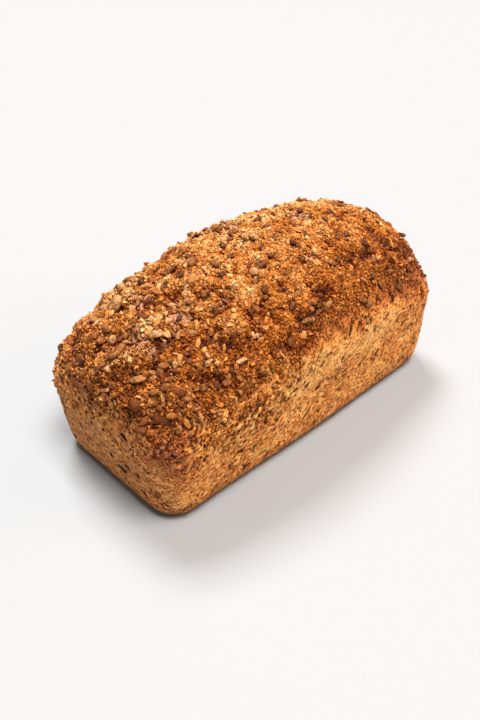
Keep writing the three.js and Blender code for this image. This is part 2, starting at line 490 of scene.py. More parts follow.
pore_share = on_wall * (1 - smooth_step(crown, *NO_PORES_ON))
pore_spots, pore_ups = strew(PORES, PORE_GAP, pore_share, seed=18)
pore_climb = np.where(np.abs(pore_ups[:, 0]) > np.abs(pore_ups[:, 1]), END_CLIMB, SIDE_CLIMB)
for spot, up, climb in zip(pore_spots, pore_ups, pore_climb):
    half_long = (PORE_SHORT + PORE_LONGER * draw.random() ** 3) * MM
    half_wide = max(half_long * draw.uniform(*PORE_WIDE), PORE_LEAST)
    along = stroke(up, climb + draw.normal(0, CLIMB_SPREAD))
    dent(spot, up, along, half_long, half_wide, PORE_DEPTH, draw.uniform(*PORE_DARK))
for x, y, climb, half_long in SLITS:
    spot, up = seen_at(crust, (x, y))
    dent(spot, up, stroke(up, climb), half_long * MM, SLIT_WIDE, SLIT_DEPTH, SLIT_DARK)
for x, y, half_long, half_wide in PIN_HOLES:
    spot, up = seen_at(crust, (x, y))
    dent(spot, up, stroke(up, END_CLIMB), half_long * MM, half_wide * MM, PIN_DEPTH, PIN_DARK)
    clear *= smooth_step(np.linalg.norm(crust_place - spot, axis=1), *PIN_CLEAR)
    print("pin hole at, mm:", np.round(spot / MM, 1))
print("pores:", len(pore_spots), "points in pores and slits:", int((hollow_shade > 0.3).sum()))

# %% [markdown]
# Grain under the skin pushes lumps out of the walls, most of all near the tin's edge by the near corner.
# The largest are put where the picture shows them, each with a broken groove round it where the skin
# tore, painted dark as shade. Each is a pixel, the climb in degrees and half the length in millimetres.
# Smaller ones are strewn.

# %% Push lumps out of the walls
LUMPS = [
    (225, 415, 60, 4.0), (245, 424, 80, 3.2), (268, 417, 85, 3.4), (257, 412, 35, 4.2), (236, 460, 50, 5.0),
    (207, 409, 70, 3.5), (215, 436, 40, 3.5), (192, 432, 40, 3.0), (236, 401, 60, 3.5), (178, 452, 40, 3.0),
    (293, 394, 30, 3.0), (187, 470, 40, 3.0), (253, 432, 30, 2.6),
]
LUMP_WIDE = 0.55  # width as a part of the length
LUMP_RISE = 0.3  # rise as a part of half the length
LUMP_SEARCH = 2.0  # this and the next three are parts of the oval
LUMP_EDGE = (1.1, 0.4)
TEAR_INSIDE = (0.85, 1.1)
TEAR_OUTSIDE = (1.6, 1.25)
TEAR_DEPTH = 0.6  # mm
# painted shade in the torn groove
TEAR_DARK = 1.2
TEAR_LENGTH = 5 * MM
TEAR_BREAKS = (-0.7, 0.3)
SMALL_LUMPS = 230
SMALL_GAP = 4.5 * MM
SMALL_SIZE = (1.5, 3.6)  # half the length, mm
SMALL_WIDE = 0.65
SMALL_CLIMB = (10, 90)
SMALL_RISE = (0.22, 0.42)
SMALL_SEARCH = 1.3
SMALL_EDGE = (1.15, 0.35)
NEAR_THIRD_ALONG = (-5 * MM, 70 * MM)
LUMPY_UP = (36 * MM, 62 * MM)
FEW_LUMPS = 0.15  # share of lumps away from the near third
FEW_LUMPS_UP = (35 * MM, 66 * MM)

near_third = smooth_step(-place[:, 0], *NEAR_THIRD_ALONG)
lumpy = near_third * smooth_step(place[:, 2], *LUMPY_UP)
lump_share = on_wall * (FEW_LUMPS * smooth_step(place[:, 2], *FEW_LUMPS_UP) + lumpy)
lump_spots, lump_ups = strew(SMALL_LUMPS, SMALL_GAP, lump_share, seed=19)
lump = np.zeros(len(crust_place))
broken_line = smooth_step(slow_waves(crust_place, TEAR_LENGTH, seed=24), *TEAR_BREAKS)
for x, y, climb, half_long in LUMPS:
    spot, up = seen_at(crust, (x, y))
    along = stroke(up, climb)
    found, reach = oval_reach(spot, up, along, half_long * MM, half_long * LUMP_WIDE * MM, LUMP_SEARCH)
    swell = smooth_step(reach, *LUMP_EDGE)
    outline = smooth_step(reach, *TEAR_INSIDE) * smooth_step(reach, *TEAR_OUTSIDE) * broken_line[found]
    push[found] += (swell * LUMP_RISE * half_long - outline * TEAR_DEPTH) * MM
    lump[found] = np.maximum(lump[found], swell)
    hollow_shade[found] = np.maximum(hollow_shade[found], TEAR_DARK * outline)
for spot, up in zip(lump_spots, lump_ups):
    size = draw.uniform(*SMALL_SIZE) * MM
    along = stroke(up, draw.uniform(*SMALL_CLIMB))
    found, reach = oval_reach(spot, up, along, size, size * SMALL_WIDE, SMALL_SEARCH)
    swell = smooth_step(reach, *SMALL_EDGE)
    push[found] += swell * size * draw.uniform(*SMALL_RISE)
    lump[found] = np.maximum(lump[found], swell)
print("lumps:", len(LUMPS) + len(lump_spots))

# %% [markdown]
# Whole seeds are baked into the walls too. Each lies flush in the skin, mostly steeper than the strokes,
# with a fine groove round it that holds painted shade, so the groove is pressed here and the seed goes
# in later. Then the points of the crust move, once for all the marks.

# %% Grooves round the seeds in the walls
WALL_SEEDS = 120
WALL_SEED_GAP = 8 * MM
WALL_SEED_SIZE = (3.4, 5.0)  # length, mm
WALL_SEED_CLIMB = (55, 25)  # middle and spread, degrees
GROOVE_LONG = 0.5  # half sizes of the groove as parts of the seed's length
GROOVE_WIDE = 0.32
GROOVE_SEARCH = 1.9  # this and the next two are parts of the groove's oval
GROOVE_INSIDE = (0.7, 1.05)
GROOVE_OUTSIDE = (1.8, 1.2)
GROOVE_DEPTH = 0.3 * MM
# painted shade in the groove round a seed
GROOVE_DARK = 0.55
SEEDS_ANYWHERE = 0.5  # share of seeds where the wall has no lumps

wall_seed_share = on_wall * (SEEDS_ANYWHERE + lump_share) * clear
wall_seed_spots, wall_seed_ups = strew(WALL_SEEDS, WALL_SEED_GAP, wall_seed_share, seed=23)
wall_seed_lengths = draw.uniform(*WALL_SEED_SIZE, len(wall_seed_spots)) * MM
wall_seed_along = np.array([stroke(up, draw.normal(*WALL_SEED_CLIMB)) for up in wall_seed_ups])
for spot, up, along, length in zip(wall_seed_spots, wall_seed_ups, wall_seed_along, wall_seed_lengths):
    found, reach = oval_reach(spot, up, along, length * GROOVE_LONG, length * GROOVE_WIDE, GROOVE_SEARCH)
    groove = smooth_step(reach, *GROOVE_INSIDE) * smooth_step(reach, *GROOVE_OUTSIDE)
    push[found] -= groove * GROOVE_DEPTH
    hollow_shade[found] = np.maximum(hollow_shade[found], GROOVE_DARK * groove)

crust_place += crust_normal * push[:, None]
crust.data.vertices.foreach_set("co", crust_place.astype(np.float32).ravel())
crust.data.update()
crust_place, crust_normal = points_of(crust.data)
print("seeds in the walls:", len(wall_seed_spots))

# %% [markdown]
# ## Shapes of the topping
#
# Each kind of topping is modelled a few times and then copied by the hundred, so a shape has only a few
# dozen faces. A kernel and a flaxseed start as a ball that is flattened and drawn to a point. Cracked
# grain starts as a ball too, and random cuts leave the flat faces and sharp edges of a broken grain.
# A crumb is a cube with its corners pushed about, and a curl of bran is a strip with raised ends. Every
# shape is read off as corners and triangles with a length of 1.

# %% Model kernels, flaxseeds, broken grain, crumbs and curls
KERNEL_FORMS = [  # width, thickness and how little the tip is drawn in
    (0.60, 0.46, 0.88), (0.54, 0.48, 0.9), (0.72, 0.46, 0.95), (0.5, 0.4, 0.86), (0.66, 0.5, 1.0),
]
KERNEL_ROUGH = 0.18
TIP_STEPS = (0.08, 0.26, 0.4)
TIP_CENTRE = (0.3, 0, 0)
CUT_DEPTH = (0.2, 0.45)
CUT_FACING = (1, 1, 0.7)  # the cuts lean away from above
CURL_STEPS = (0.25, 0.45)
CURL_NARROW = 0.7
CURL_ROUGH = 0.05
CURL_THICK = 0.1


def read_shape(piece):
    mesh = piece.data
    mesh.calc_loop_triangles()
    corners = np.array([v.co[:] for v in mesh.vertices])
    faces = np.array([t.vertices[:] for t in mesh.loop_triangles])
    corners = (corners - (corners.max(0) + corners.min(0)) / 2) / np.ptp(corners[:, 0])
    bpy.data.objects.remove(piece)
    return corners, faces


def start_shape(add_primitive, sides, **settings):
    """Adds a primitive, opens it in edit mode and scales it to its length, width and thickness."""
    bpy.ops.object.select_all(action="DESELECT")
    add_primitive(**settings)
    bpy.ops.object.mode_set(mode="EDIT")
    bpy.ops.mesh.select_all(action="SELECT")
    bpy.ops.transform.resize(value=sides)
    return bpy.context.object


def pick_points(piece, wanted):
    bpy.ops.mesh.select_all(action="DESELECT")
    bpy.ops.object.mode_set(mode="OBJECT")
    for vertex in piece.data.vertices:
        vertex.select = wanted(vertex.co)
    bpy.ops.object.mode_set(mode="EDIT")


def seed_shape(wide, thick, point, rough, seed):
    ball = bpy.ops.mesh.primitive_ico_sphere_add
    piece = start_shape(ball, (1, wide, thick), subdivisions=2, radius=0.5)
    bpy.ops.transform.vertex_random(offset=rough, seed=seed)
    for reach in TIP_STEPS:
        pick_points(piece, lambda co: co.x > reach)
        bpy.ops.transform.resize(value=(1, point, point), center_override=TIP_CENTRE)
    bpy.ops.object.mode_set(mode="OBJECT")
    return read_shape(piece)


def broken_shape(wide, thick, cuts, seed):
    draw = np.random.default_rng(seed)
    ball = bpy.ops.mesh.primitive_ico_sphere_add
    piece = start_shape(ball, (1, wide, thick), subdivisions=1, radius=0.5)
    for _ in range(cuts):
        direction = draw.normal(size=3) * CUT_FACING
        direction /= np.linalg.norm(direction)
        depth = draw.uniform(*CUT_DEPTH) * np.linalg.norm(direction * (1, wide, thick))
        bpy.ops.mesh.select_all(action="SELECT")
        bpy.ops.mesh.bisect(
            plane_co=direction * depth, plane_no=direction, use_fill=True, clear_outer=True
        )
    bpy.ops.object.mode_set(mode="OBJECT")
    return read_shape(piece)


def crumb_shape(wide, thick, rough, seed):
    piece = start_shape(bpy.ops.mesh.primitive_cube_add, (1, wide, thick), size=1)
    bpy.ops.transform.vertex_random(offset=rough, seed=seed)
    bpy.ops.object.mode_set(mode="OBJECT")
    return read_shape(piece)


def curl_shape(wide, rise, seed):
    strip = bpy.ops.mesh.primitive_grid_add
    piece = start_shape(strip, (1, wide, 1), x_subdivisions=5, y_subdivisions=2, size=1)
    for reach in CURL_STEPS:
        pick_points(piece, lambda co: abs(co.x) > reach)
        bpy.ops.transform.translate(value=(0, 0, rise))
        bpy.ops.transform.resize(value=(1, CURL_NARROW, 1))
    bpy.ops.mesh.select_all(action="SELECT")
    bpy.ops.transform.vertex_random(offset=CURL_ROUGH, seed=seed)
    bpy.ops.object.mode_set(mode="OBJECT")
    apply_modifier(piece, "SOLIDIFY", thickness=CURL_THICK, offset=0)
    return read_shape(piece)


kernel_shapes = [
    seed_shape(wide, thick, point, KERNEL_ROUGH, seed)
    for seed, (wide, thick, point) in enumerate(KERNEL_FORMS)
]
flax_shapes = [
    seed_shape(wide=0.54, thick=0.32, point=0.82, rough=0.0, seed=0),
    seed_shape(wide=0.5, thick=0.34, point=0.86, rough=0.02, seed=1),
]
crack_shapes = [
    broken_shape(wide=0.5 + 0.05 * (k % 5), thick=0.45, cuts=4, seed=40 + k) for k in range(10)
]
curl_shapes = [
    curl_shape(wide=0.26 + 0.05 * (k % 3), rise=0.05 + 0.03 * (k % 2), seed=50 + k) for k in range(6)
]
flake_shapes = [crumb_shape(wide=0.66, thick=0.26, rough=0.2, seed=60 + k) for k in range(14)]
grit_shapes = [crumb_shape(wide=0.85, thick=0.7, rough=0.22, seed=80 + k) for k in range(14)]
for name, shapes in (
    ("kernel", kernel_shapes), ("flaxseed", flax_shapes), ("cracked grain", crack_shapes),
    ("curl", curl_shapes), ("flake", flake_shapes), ("grit", grit_shapes),
):
    print(name, "faces a shape:", [len(faces) for _, faces in shapes])

# %% [markdown]
# ## Copies by the hundred
#
# Every copy lies along the crust with its own turn, tilt, size and tone, and all copies of a kind are
# joined into one mesh, made from arrays because operators are slow over so many. Each point also keeps
# how far it stands over the crust, so that the material can paint shade on its low parts: the gaps
# between crumbs lie in shade and their tops in light.

# %% Lay and join copies
# the painted shade of the gaps fades out over this height above the crust
RISE_RANGE = 1.8 * MM
STRETCH = (0.85, 1.15)
TIP_SPREAD = 0.6


def keep_attribute(piece, name, values):
    attribute = piece.data.attributes.new(name, "FLOAT", "POINT")
    attribute.data.foreach_set("value", np.asarray(values, np.float32))


def lay(ups, tilt, along, draw):
    """A turn for each copy: flat on the crust and tipped by about the tilt in degrees."""
    tipped = ups + math.tan(math.radians(tilt)) * TIP_SPREAD * draw.normal(size=ups.shape)
    tipped /= np.linalg.norm(tipped, axis=1)[:, None]
    across = np.cross(tipped, along)
    across /= np.linalg.norm(across, axis=1)[:, None]
    return np.stack([np.cross(across, tipped), across, tipped], axis=2)


def topping(name, shapes, spots, ups, lengths, lift, tilt, tones, seed, smooth, along=None):
    """Copies of the shapes at the spots, joined into one piece. The lift is a part of each length."""
    draw = np.random.default_rng(seed)
    turns = lay(ups, tilt, draw.normal(size=ups.shape) if along is None else along, draw)
    stretch = draw.uniform(*STRETCH, (len(spots), 3))
    pick = draw.integers(len(shapes), size=len(spots))
    raised = ups * (lengths * lift)[:, None]
    corners, faces, tone, rise = [], [], [], []
    start = 0
    for k, (shape, shape_faces) in enumerate(shapes):
        mine = np.nonzero(pick == k)[0]
        grown = shape[None] * (lengths[mine, None] * stretch[mine])[:, None, :]
        laid = np.einsum("nij,nvj->nvi", turns[mine], grown) + raised[mine][:, None]
        over_crust = np.einsum("nvi,ni->nv", laid, ups[mine])
        offsets = start + np.arange(len(mine)) * len(shape)
        corners.append((laid + spots[mine][:, None]).reshape(-1, 3))
        faces.append((shape_faces[None] + offsets[:, None, None]).reshape(-1, 3))
        tone.append(np.repeat(tones[mine], len(shape)))
        rise.append(np.clip(over_crust / RISE_RANGE, 0, 1).ravel())
        start += len(mine) * len(shape)
    corners, faces = np.concatenate(corners), np.concatenate(faces)
    mesh = bpy.data.meshes.new(name)
    mesh.vertices.add(len(corners))
    mesh.vertices.foreach_set("co", corners.astype(np.float32).ravel())
    mesh.loops.add(faces.size)
    mesh.loops.foreach_set("vertex_index", faces.astype(np.int32).ravel())
    mesh.polygons.add(len(faces))
    mesh.polygons.foreach_set("loop_start", np.arange(0, faces.size, 3, dtype=np.int32))
    mesh.polygons.foreach_set("use_smooth", np.full(len(faces), smooth))
    mesh.update(calc_edges=True)
    piece = bpy.data.objects.new(name, mesh)
    bpy.context.scene.collection.objects.link(piece)
    keep_attribute(piece, "tone", np.concatenate(tone))
    keep_attribute(piece, "rise", np.concatenate(rise))
    print(name, len(spots), "copies", len(faces), "triangles")
    return piece


# %% [markdown]
# ## The topping
#
# Largest first: the kernels and the big seeds take the places that the solid gives them, found again by
# the same filling rule over the loaf's plan. Then come more flaxseeds, cracked grain, curls of bran,
# flakes and meal, thick on the crown and thinning out toward the walls.

# %% Places of the solid's grains
GRAINS = 184
GRAIN_LONG = 7.4 * MM
GRAIN_SHORT = 4.0 * MM
GRAIN_SHRINK = 0.6
GRAIN_GAP = 1.2 * MM
TOPPED_LENGTH = 220 * MM
TOPPED_WIDTH = 109 * MM
TOPPED_POWER = 5
FILL_LENGTH = 0.7548776662  # steps of an evenly filling sequence
FILL_WIDTH = 0.569840291
KERNELS = 100  # the largest grains are kernels and the rest are flaxseeds

plan, sizes = [], []
step = 0
while len(plan) < GRAINS:
    length_share = 2 * ((0.5 + step * FILL_LENGTH) % 1) - 1
    width_share = 2 * ((0.5 + step * FILL_WIDTH) % 1) - 1
    step += 1
    if abs(length_share) ** TOPPED_POWER + abs(width_share) ** TOPPED_POWER > 1:
        continue
    length = GRAIN_LONG + (GRAIN_SHORT - GRAIN_LONG) * (len(plan) / GRAINS) ** GRAIN_SHRINK
    spot = (length_share * TOPPED_LENGTH / 2, width_share * TOPPED_WIDTH / 2)
    if any(math.dist(spot, p) < (size + length) / 2 + GRAIN_GAP for p, size in zip(plan, sizes)):
        continue
    plan.append(spot)
    sizes.append(length)

hits = [crust.ray_cast(Vector((x, y, 1)), Vector((0, 0, -1))) for x, y in plan]
grain_spots = np.array([where for _, where, _, _ in hits])
grain_ups = np.array([facing for _, _, facing, _ in hits])
grain_sizes = np.array(sizes)
print("grains laid where the solid has them:", len(grain_spots))

# %% [markdown]
# The largest lumps of this loaf, on its near end and along its crest, are put where the picture shows
# them. Each is a pixel, a length in millimetres and a tone from dark to pale. They and the kernels in
# the solid's places make one piece. Far kernels get painted shade and are darker than near ones, as they
# are seen against the light behind.

# %% Kernels and lumps of grain
NUGGETS = [
    (152, 402, 5.5, 0.5), (143, 401, 4.5, 0.7), (165, 400, 6.5, 0.5), (187, 400, 5.5, 0.5),
    (196, 408, 5.0, 0.4), (207, 412, 4.5, 0.4), (150, 410, 4.0, 0.6), (180, 415, 4.5, 0.5),
    (191, 420, 4.0, 0.5), (173, 407, 4.5, 0.4), (178, 430, 4.5, 0.5), (219, 414, 4.5, 0.5),
    (207, 363, 6.0, 0.75), (162, 369, 8.0, 0.5), (138, 381, 8.0, 0.5), (154, 382, 6.0, 0.5),
    (171, 380, 5.5, 0.4), (165, 388, 7.0, 0.35), (115, 356, 6.5, 0.4), (204, 388, 7.0, 0.2),
    (194, 396, 5.0, 0.3), (105, 390, 5.5, 0.5), (219, 371, 6.5, 0.5), (226, 376, 6.0, 0.5),
    (119, 305, 11.0, 0.7), (106, 310, 8.0, 0.6), (156, 333, 9.5, 0.75), (175, 365, 5.0, 0.7),
    (183, 364, 4.5, 0.9), (179, 337, 7.0, 0.5), (193, 333, 6.0, 0.6), (105, 349, 4.0, 1.0),
    (109, 369, 5.0, 0.9), (187, 293, 7.0, 0.8), (113, 340, 6.5, 0.7), (165, 288, 4.5, 0.1),
    (166, 306, 5.0, 0.1), (260, 266, 7.5, 0.15), (285, 275, 7.5, 0.25), (293, 272, 5.0, 0.5),
    (297, 247, 6.0, 0.15), (256, 282, 5.5, 0.3), (235, 286, 4.0, 1.0), (235, 296, 5.5, 0.5),
    (266, 300, 7.5, 0.2), (290, 307, 6.0, 0.25), (310, 320, 6.0, 0.5), (318, 313, 6.0, 0.4),
    (352, 274, 5.0, 0.2), (340, 275, 5.0, 0.5), (372, 276, 6.0, 0.15), (389, 272, 6.0, 0.3),
    (398, 281, 4.5, 0.05), (408, 260, 6.0, 0.6), (363, 301, 5.0, 0.25), (365, 317, 4.0, 0.1),
    (300, 316, 5.0, 0.15), (318, 305, 5.0, 0.3), (173, 252, 5.5, 0.15), (188, 258, 5.0, 0.2),
    (193, 264, 7.0, 0.35), (170, 273, 6.0, 0.3), (152, 281, 5.0, 0.4), (268, 228, 4.5, 0.3),
    (262, 238, 4.5, 0.3), (230, 241, 5.0, 0.2), (231, 259, 5.0, 0.25), (220, 231, 5.0, 0.15),
    (347, 235, 5.0, 0.2), (366, 217, 4.5, 0.2), (337, 259, 5.0, 0.3), (372, 237, 4.5, 0.3),
]
LEANING = 0.4  # a lump lies along the loaf, more or less
NUGGET_LIFT = 0.21
KERNEL_LIFT = 0.2
KERNEL_TILT = 16
MOSTLY_DARK = 1.5  # a power above 1 makes pale kernels rarer
FAR_SHADE = 0.6
FAR_SHADE_ALONG = (-20 * MM, 50 * MM)

seen = [seen_at(crust, (x, y)) for x, y, _, _ in NUGGETS]
nugget_spots = np.array([where for where, _ in seen])
nugget_ups = np.array([facing for _, facing in seen])
nugget_lengths = np.array([length for _, _, length, _ in NUGGETS]) * MM
nugget_tones = np.array([tone for _, _, _, tone in NUGGETS])
nugget_along = np.array([1, 0, 0]) + LEANING * draw.normal(size=nugget_spots.shape)
far_kernel = smooth_step(grain_spots[:KERNELS, 0], *FAR_SHADE_ALONG)
# painted shade: far kernels are darkened, as lumps seen against the light behind
kernel_tones = draw.random(KERNELS) ** MOSTLY_DARK * (1 - FAR_SHADE * far_kernel)
kernel_along = draw.normal(size=(KERNELS, 3))
kernel_spots = np.concatenate([grain_spots[:KERNELS], nugget_spots])
kernel_lengths = np.concatenate([grain_sizes[:KERNELS], nugget_lengths])
kernel_lifts = np.concatenate([np.full(KERNELS, KERNEL_LIFT), np.full(len(NUGGETS), NUGGET_LIFT)])
kernels = topping(
    "kernels", kernel_shapes, kernel_spots, np.concatenate([grain_ups[:KERNELS], nugget_ups]),
    kernel_lengths, kernel_lifts, KERNEL_TILT, np.concatenate([kernel_tones, nugget_tones]),
    seed=51, smooth=True, along=np.concatenate([kernel_along, nugget_along]),
)

# %% [markdown]
# Crumbs that fell on a kernel would bury it, and on the real crown the kernels lie free. So each keeps
# some room: a share of 0 under it that comes back to 1 just beside it. The later kinds are strewn by it.

# %% Room round the kernels
CLEAR_FROM = 0.25  # parts of the kernel's length
CLEAR_TO = 0.6

free = np.ones(len(crust_place))
for spot, length in zip(kernel_spots, kernel_lengths):
    for _, index, distance in near_points.find_range(Vector(spot), CLEAR_TO * length):
        free[index] *= smooth_step(distance, CLEAR_FROM * length, CLEAR_TO * length)
print("share of the crust that is free:", round(float(free.mean()), 2))

# %% [markdown]
# Flaxseeds are smooth, flat ovals. On the crown they lie every way, toasted dark: some in the solid's
# places, the rest strewn. In the walls they lie flush in the grooves pressed for them, and are paler,
# because a skin of dough covers them.

# %% Flaxseeds on the crown and in the walls
CROWN_SEEDS = 120
CROWN_SEED_GAP = 7 * MM
CROWN_SEED_SIZE = (3.6, 4.8)  # length, mm
CROWN_SEED_LIFT = 0.1
CROWN_SEED_TONE = 0.6
WALL_SEED_TONE = (0.7, 1.0)
FLUSH = -0.06
SEED_TILT = 12

crown_spots, crown_ups = strew(CROWN_SEEDS, CROWN_SEED_GAP, topped * free, seed=61)
crown_spots = np.concatenate([grain_spots[KERNELS:], crown_spots])
crown_ups = np.concatenate([grain_ups[KERNELS:], crown_ups])
on_crown, in_walls = len(crown_spots), len(wall_seed_spots)
crown_lengths = draw.uniform(*CROWN_SEED_SIZE, on_crown) * MM
crown_tones = CROWN_SEED_TONE * draw.random(on_crown)
wall_tones = draw.uniform(*WALL_SEED_TONE, in_walls)
crown_along = draw.normal(size=crown_spots.shape)
flaxseeds = topping(
    "flaxseeds", flax_shapes,
    np.concatenate([crown_spots, wall_seed_spots]),
    np.concatenate([crown_ups, wall_seed_ups]),
    np.concatenate([crown_lengths, wall_seed_lengths]),
    np.concatenate([np.full(on_crown, CROWN_SEED_LIFT), np.full(in_walls, FLUSH)]),
    SEED_TILT,
    np.concatenate([crown_tones, wall_tones]),
    seed=62, smooth=True,
    along=np.concatenate([crown_along, wall_seed_along]),
)

# %% [markdown]
# Cracked grain gives the crown its hard edges, and curls of bran catch the light at their raised ends.
# Both lie thicker on the near half. Over the near end the grain is coarser and darker, partly browner
# bake and partly painted shade, as that end faces away from the light.

# %% Cracked grain and curls of bran
NEAR_END_ALONG = (10 * MM, 80 * MM)
CRACKED = 950
CRACKED_GAP = 3.0 * MM
CRACKED_INWARD = 1.5  # a power above 1 draws the grain in from the topping's edge
CRACKED_FAR = 0.3  # share away from the near end
CRACKED_NEAR = 1.5  # added toward it
CRACKED_MOSTLY_DARK = 1.3
COARSER = 0.3
COARSER_ALONG = (50 * MM, 100 * MM)
BROWNER_AND_SHADED = 0.5
BROWNER_AND_SHADED_ALONG = (80 * MM, 104 * MM)
CURLS = 180
CURL_GAP = 5 * MM
CURL_FAR = 0.4


def drawn_lengths(spots, shortest, longer, power):
    """A length for each spot, up to so many mm over the shortest. A power above 1 makes long ones rarer."""
    return (shortest + longer * draw.random(len(spots)) ** power) * MM


near_end = smooth_step(-crust_place[:, 0], *NEAR_END_ALONG)
crack_share = free * topped**CRACKED_INWARD * (CRACKED_FAR + CRACKED_NEAR * near_end)
crack_spots, crack_ups = strew(CRACKED, CRACKED_GAP, crack_share, seed=71)
crack_lengths = drawn_lengths(crack_spots, shortest=1.9, longer=3.4, power=2)
crack_lengths *= 1 + COARSER * smooth_step(-crack_spots[:, 0], *COARSER_ALONG)
crack_tones = draw.random(len(crack_spots)) ** CRACKED_MOSTLY_DARK
# darker over the near end: partly browner bake, partly painted shade
crack_tones *= 1 - BROWNER_AND_SHADED * smooth_step(-crack_spots[:, 0], *BROWNER_AND_SHADED_ALONG)
cracked_grain = topping(
    "cracked_grain", crack_shapes, crack_spots, crack_ups, crack_lengths,
    lift=0.24, tilt=40, tones=crack_tones, seed=72, smooth=False,
)
curl_spots, curl_ups = strew(CURLS, CURL_GAP, free * topped * (CURL_FAR + near_end), seed=75)
curl_lengths = drawn_lengths(curl_spots, shortest=3.0, longer=4.5, power=2)
curl_tones = draw.random(len(curl_spots))
bran_curls = topping(
    "bran_curls", curl_shapes, curl_spots, curl_ups, curl_lengths,
    lift=0.12, tilt=35, tones=curl_tones, seed=76, smooth=True,
)

# %% [markdown]
# The ground of the topping is bran flakes and meal. They lie in drifts, thinner over the near end, and
# leave the bald patches that the picture shows, each a pixel and a radius in millimetres.

# %% Drifts and bald patches
BARE_PATCHES = [
    (225, 230, 13), (299, 215, 11), (178, 315, 11), (138, 299, 10),
    (134, 340, 9), (308, 255, 8), (221, 306, 6), (148, 350, 8),
]
PATCH_WANDER = 1.6 * MM
PATCH_LENGTH = 6 * MM
PATCH_EDGE = (1.1, 0.6)  # parts of the radius
PATCH_BALD = 0.95
DRIFT_LENGTH = 14 * MM
DRIFT_LEAST = 0.35  # cover between the drifts
DRIFT_MORE = 0.65  # added on them
DRIFT_EDGE = (-0.9, 0.2)
NEAR_THINNER = 0.4
OVER_END_ALONG = (78 * MM, 104 * MM)
OVER_END_TOP = 100 * MM
OVER_END_BLEND = 14 * MM

drifts = smooth_step(slow_waves(crust_place, DRIFT_LENGTH, seed=21), *DRIFT_EDGE)
cover = DRIFT_LEAST + DRIFT_MORE * drifts
bare = np.zeros(len(crust_place))
over_end = smooth_step(-crust_place[:, 0], *OVER_END_ALONG)
over_end *= smooth_step(OVER_END_TOP - crust_place[:, 2], 0, OVER_END_BLEND)
cover *= (1 - NEAR_THINNER * near_end) * (1 - NEAR_THINNER * over_end) * free
for x, y, radius in BARE_PATCHES:
    centre, _ = seen_at(crust, (x, y))
    away = np.linalg.norm(crust_place - centre, axis=1)
    away += PATCH_WANDER * slow_waves(crust_place, PATCH_LENGTH, seed=41)
    patch = smooth_step(away, PATCH_EDGE[0] * radius * MM, PATCH_EDGE[1] * radius * MM)
    cover *= 1 - PATCH_BALD * patch
    bare = np.maximum(bare, patch)
print("share of the crust that is bald:", round(float(bare.mean()), 3))

# %% [markdown]
# The crumbs' tones follow the bake and the light. They are palest on the crest. On the front half,
# which faces away from the light behind the loaf, they get painted shade. Down the slopes and low on the
# crown they darken, partly as browner bake and partly as painted shade, more so toward the far end.
# Crumbs on a knob get painted light and those in a hollow painted shade. Strays past the topping's edge
# are paler than crumbs as low within it. A list holds how much each of these counts and where.

# %% Bran flakes, golden meal and fine meal
CREST_TONE = 0.77
CREST = 113 * MM
SHADED_FRONT_HALF = (-25 * MM, 10 * MM)
LOW_DOWN = 34 * MM
LOWEST_TOP = 82 * MM
LOWEST_BLEND = 25 * MM
SLOPE = (0.35 * HALF_WIDTH, 0.75 * HALF_WIDTH)
FAR_SLOPE_ALONG = (0, 70 * MM)
TONE_LENGTH = 24 * MM
KNOB = 1.5 * MM
KNOB_MOST = 1.5
HOLLOW_SHADE_DEPTH = (0.2 * MM, 1.5 * MM)
FLAKES = 11000
FLAKE_GAP = 1.1 * MM
FLAKE_FAR = 0.3
FLAKE_NEAR = 0.7
MEAL = 16000  # coarse pieces, and as many fine ones
MEAL_GAP = 0.9 * MM
STRAY_ON_LUMPS = 0.08  # shares of meal past the topping's edge
STRAY_ON_CROWN = 0.07
FINE_GAP = 0.75 * MM
FINE_NEAR_LESS = 0.6


def baked_and_shaded_tones(spots, spread, seed):
    drawn = np.random.default_rng(seed).random(len(spots))
    below = [near_points.find(spot)[1] for spot in spots]
    on_slope = smooth_step(np.abs(spots[:, 1]), *SLOPE)
    # painted shade on the front half, partly on the slopes and low down, and in hollows; painted light on
    # knobs
    tone_marks = [
        (-0.17, smooth_step(-spots[:, 1], *SHADED_FRONT_HALF)),
        (-0.31, smooth_step(CREST - spots[:, 2], 0, LOW_DOWN)),
        (-0.38, smooth_step(LOWEST_TOP - spots[:, 2], 0, LOWEST_BLEND)),
        (-0.05, on_slope),
        (-0.12, on_slope * smooth_step(spots[:, 0], *FAR_SLOPE_ALONG)),
        (0.13, slow_waves(spots, TONE_LENGTH, seed=31)),
        (0.14, np.clip(knob_height[below] / KNOB, -KNOB_MOST, KNOB_MOST)),
        (-0.2, smooth_step(-knob_height[below], *HOLLOW_SHADE_DEPTH)),
        (0.25, 1 - topped[below]),
        (spread, drawn - 0.5),
    ]
    return np.clip(CREST_TONE + sum(amount * where for amount, where in tone_marks), 0, 1)


flake_share = topped * cover * (FLAKE_FAR + FLAKE_NEAR * near_end)
flake_spots, flake_ups = strew(FLAKES, FLAKE_GAP, flake_share, seed=81)
flake_lengths = drawn_lengths(flake_spots, shortest=1.0, longer=2.4, power=2)
flake_tones = baked_and_shaded_tones(flake_spots, spread=0.5, seed=83)
bran_flakes = topping(
    "bran_flakes", flake_shapes, flake_spots, flake_ups, flake_lengths,
    lift=0.2, tilt=45, tones=flake_tones, seed=82, smooth=False,
)
meal_share = (STRAY_ON_LUMPS * lumpy * clear + STRAY_ON_CROWN * crown + topped) * cover
meal_spots, meal_ups = strew(MEAL, MEAL_GAP, meal_share, seed=91)
meal_lengths = drawn_lengths(meal_spots, shortest=0.9, longer=0.9, power=1)
meal_tones = baked_and_shaded_tones(meal_spots, spread=0.45, seed=93)
golden_meal = topping(
    "golden_meal", grit_shapes, meal_spots, meal_ups, meal_lengths,
    lift=0.3, tilt=60, tones=meal_tones, seed=92, smooth=False,
)
fine_share = topped * cover * (1 - FINE_NEAR_LESS * near_end)
